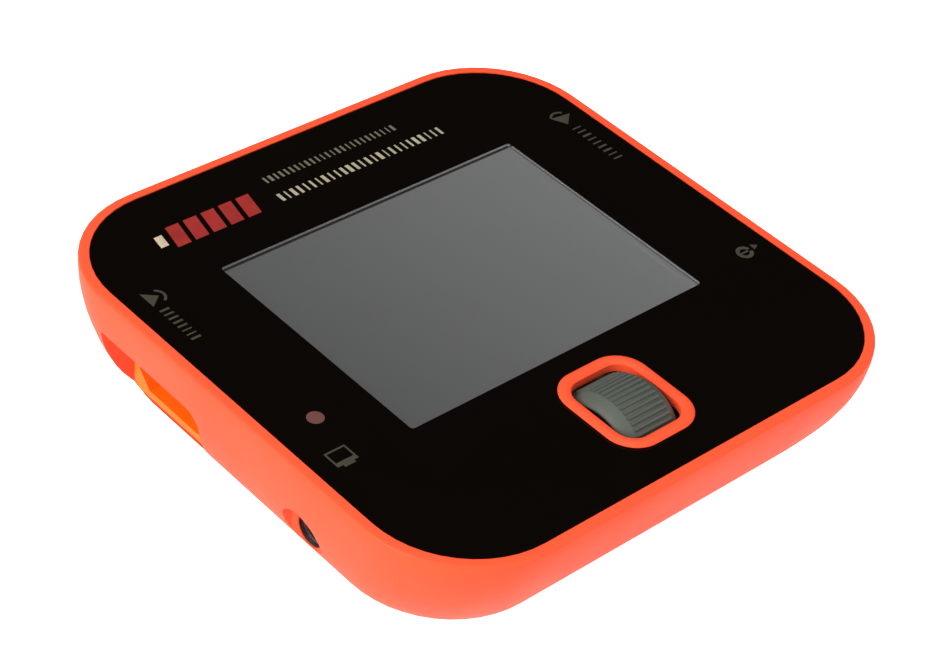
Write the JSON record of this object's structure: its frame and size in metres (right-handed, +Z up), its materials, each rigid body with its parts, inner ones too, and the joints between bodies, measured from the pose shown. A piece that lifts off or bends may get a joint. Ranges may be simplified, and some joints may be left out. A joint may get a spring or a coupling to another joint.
{
  "type": "balance battery charger",
  "caption": "Square palm-sized battery charger with a display, a clicking scroll wheel, a power input and data jack, a power output and balance socket, and a fan in its base.",
  "frame": {"origin": "on the surface the feet stand on, under the middle of the case", "axes": "+X towards the side with the power output and the balance socket, -Y towards the edge with the scroll wheel, +Z up out of the display"},
  "size_m": [0.08, 0.08, 0.033],
  "materials": {
    "orange_shell": "fine satin moulded",
    "black_glass": "polished black",
    "clear_glass": "polished clear",
    "foam": "foam strip",
    "screen": "unlit display",
    "white_plastic": "moulded",
    "amber_film": "flexible film",
    "light_pipe": "polished tinted",
    "wheel_rubber": "ribbed matt",
    "black_plastic": "fine texture",
    "steel": "plated",
    "board_green": "coated circuit board",
    "amber_plastic": "moulded amber",
    "gold": "gold plated",
    "ivory_plastic": "moulded ivory",
    "copper": "wound copper",
    "capacitor_sleeve": "shrunk sleeve",
    "aluminium": "extruded",
    "foot_rubber": "matt"
  },
  "bodies": {
    "case": {"housing": "orange_shell", "wheel_bezel": "orange_shell", "front_panel": "black_glass", "display_lens": "clear_glass", "panel_gasket": "foam", "display_screen": "screen", "display_holder": "white_plastic", "wheel_frame": "white_plastic", "display_ribbon": "amber_film", "light_pipe": "light_pipe", "status_led": "ivory_plastic", "balance_socket": "ivory_plastic", "press_switch": "black_plastic", "board_header": "black_plastic", "data_jack": "black_plastic", "buzzer": "black_plastic", "fan_frame": "black_plastic", "base_cover": "black_plastic", "board_spacer_1": "steel", "board_spacer_2": "steel", "board_spacer_3": "steel", "board_spacer_4": "steel", "jack_sleeve": "steel", "case_screw_1": "steel", "case_screw_2": "steel", "case_screw_3": "steel", "case_screw_4": "steel", "fan_screw_1": "steel", "fan_screw_2": "steel", "fan_screw_3": "steel", "fan_screw_4": "steel", "control_board": "board_green", "power_board": "board_green", "input_connector": "amber_plastic", "output_connector": "amber_plastic", "input_pin_1": "gold", "input_pin_2": "gold", "output_contact_1": "gold", "output_contact_2": "gold", "balance_terminals": "gold", "inductor_1": "copper", "inductor_2": "copper", "capacitor_1": "capacitor_sleeve", "capacitor_2": "capacitor_sleeve", "capacitor_3": "capacitor_sleeve", "heatsink": "aluminium", "foot_1": "foot_rubber", "foot_2": "foot_rubber", "foot_3": "foot_rubber", "foot_4": "foot_rubber"},
    "wheel_carrier": {"wheel_cradle": "black_plastic", "wheel_encoder": "black_plastic", "switch_plunger": "ivory_plastic"},
    "wheel": {"scroll_wheel": "wheel_rubber", "wheel_hub": "black_plastic", "wheel_axle": "steel"},
    "fan": {"fan_rotor": "black_plastic", "fan_shaft": "steel"}
  },
  "joints": [
    {"name": "wheel_press", "type": "slide", "parent": "case", "child": "wheel_carrier", "axis": [0, 0, -1], "range_m": [0, 0.0005], "stiffness_N_per_m": 3000},
    {"name": "wheel_spin", "type": "hinge", "parent": "wheel_carrier", "child": "wheel", "pos_m": [0, -0.02645, 0.0258], "axis": [1, 0, 0], "continuous": true},
    {"name": "fan_spin", "type": "hinge", "parent": "case", "child": "fan", "pos_m": [0, 0, 0.00365], "axis": [0, 0, 1], "continuous": true}
  ]
}
